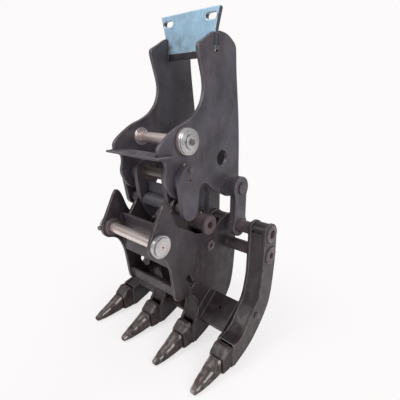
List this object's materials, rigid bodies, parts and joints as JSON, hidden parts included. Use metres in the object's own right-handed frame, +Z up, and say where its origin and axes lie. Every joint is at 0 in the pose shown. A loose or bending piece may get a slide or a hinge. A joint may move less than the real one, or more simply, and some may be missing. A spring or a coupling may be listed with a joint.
{
  "type": "excavator grapple",
  "caption": "Pin-on excavator grapple: tall side-plate frame with a slotted stick bracket, linked four-tine rake jaw with bolt-on style teeth.",
  "frame": {"origin": "centre of the stick pin, midway between the two tall side plates", "axes": "+X along the stick pin towards the near side plate, +Y to the back, where the bracket and the tine backs are, +Z up towards the bracket; the teeth point down and to -Y"},
  "size_m": [0.876, 0.6645, 1.6125],
  "materials": {
    "dark_frame_paint": "satin",
    "dark_jaw_paint": "satin",
    "plated_bracket": "satin",
    "bright_steel": "polished",
    "pin_steel": "satin",
    "bush_brass": "satin",
    "worn_cast_steel": "worn",
    "cast_adapter": "rough"
  },
  "bodies": {
    "frame": {"side_plate_near": "dark_frame_paint", "side_plate_far": "dark_frame_paint", "stick_bracket": "plated_bracket", "head_tie": "dark_jaw_paint", "rear_tie": "dark_jaw_paint", "stop_plate": "dark_frame_paint", "stick_pin_shaft": "bright_steel", "stick_pin_caps": "bright_steel", "stick_pin_bolts": "pin_steel", "stick_pin_bosses": "dark_jaw_paint", "arm_pin_shaft": "pin_steel", "arm_pin_bosses": "dark_jaw_paint", "arm_pin_spacers": "pin_steel", "rear_pins": "pin_steel", "rear_pin_bosses": "dark_jaw_paint", "rear_pin_caps": "dark_jaw_paint", "grease_nipples_frame": "bush_brass"},
    "arms": {"arm_near": "dark_jaw_paint", "arm_far": "dark_jaw_paint", "outer_arm_near": "dark_jaw_paint", "outer_arm_far": "dark_jaw_paint", "arm_tie_tube": "dark_jaw_paint", "arm_web": "dark_jaw_paint", "arm_bushes": "bush_brass", "arm_pin_keepers": "pin_steel"},
    "rear_link_near": {"link_near": "dark_jaw_paint", "inner_link_near": "dark_jaw_paint", "link_bush_near": "bush_brass"},
    "rear_link_far": {"link_far": "dark_jaw_paint", "inner_link_far": "dark_jaw_paint", "link_bush_far": "bush_brass"},
    "jaw": {"cheek_near": "dark_jaw_paint", "cheek_far": "dark_jaw_paint", "jaw_lugs": "dark_jaw_paint", "inner_tine_plates": "dark_jaw_paint", "outer_tine_plates": "dark_jaw_paint", "back_straps": "dark_jaw_paint", "face_straps": "dark_jaw_paint", "chest_plates": "dark_jaw_paint", "jaw_hubs": "dark_jaw_paint", "second_hole_rings": "dark_jaw_paint", "jaw_pin_shaft": "pin_steel", "jaw_pin_bosses": "dark_jaw_paint", "link_pin_shaft": "bright_steel", "link_pin_collars": "dark_jaw_paint", "link_pin_flanges": "bright_steel", "link_pin_bolt": "pin_steel", "front_plate": "dark_jaw_paint", "lower_front_plate": "dark_jaw_paint", "belly_plate": "dark_jaw_paint", "upper_tie_tubes": "dark_jaw_paint", "lower_tie_tubes": "dark_jaw_paint", "tie_tube_rings": "dark_jaw_paint", "tine_bolts": "pin_steel", "centre_beam": "dark_jaw_paint", "side_beams": "dark_jaw_paint", "tooth_adapters": "cast_adapter", "teeth": "worn_cast_steel", "tooth_pins": "pin_steel", "grease_nipples_jaw": "bush_brass"}
  },
  "joints": [
    {"name": "arm_swing", "type": "hinge", "parent": "frame", "child": "arms", "pos_m": [0, -0.0175, -0.16125], "axis": [1, 0, 0], "range_deg": [-13.5, 13.5]},
    {"name": "jaw_on_arms", "type": "hinge", "parent": "arms", "child": "jaw", "pos_m": [0, -0.015, -0.3], "axis": [1, 0, 0], "range_deg": [-14, 14]},
    {"name": "rear_link_swing_near", "type": "hinge", "parent": "frame", "child": "rear_link_near", "pos_m": [0.224, 0.3225, -0.26], "axis": [1, 0, 0], "range_deg": [-10, 10]},
    {"name": "rear_link_swing_far", "type": "hinge", "parent": "frame", "child": "rear_link_far", "pos_m": [-0.224, 0.3225, -0.26], "axis": [1, 0, 0], "range_deg": [-10, 10]}
  ],
  "couplings": [
    {"joint": "jaw_on_arms", "follows": "arm_swing", "ratio": -1.005},
    {"joint": "rear_link_swing_near", "follows": "arm_swing", "ratio": 0.69},
    {"joint": "rear_link_swing_far", "follows": "arm_swing", "ratio": 0.69}
  ]
}
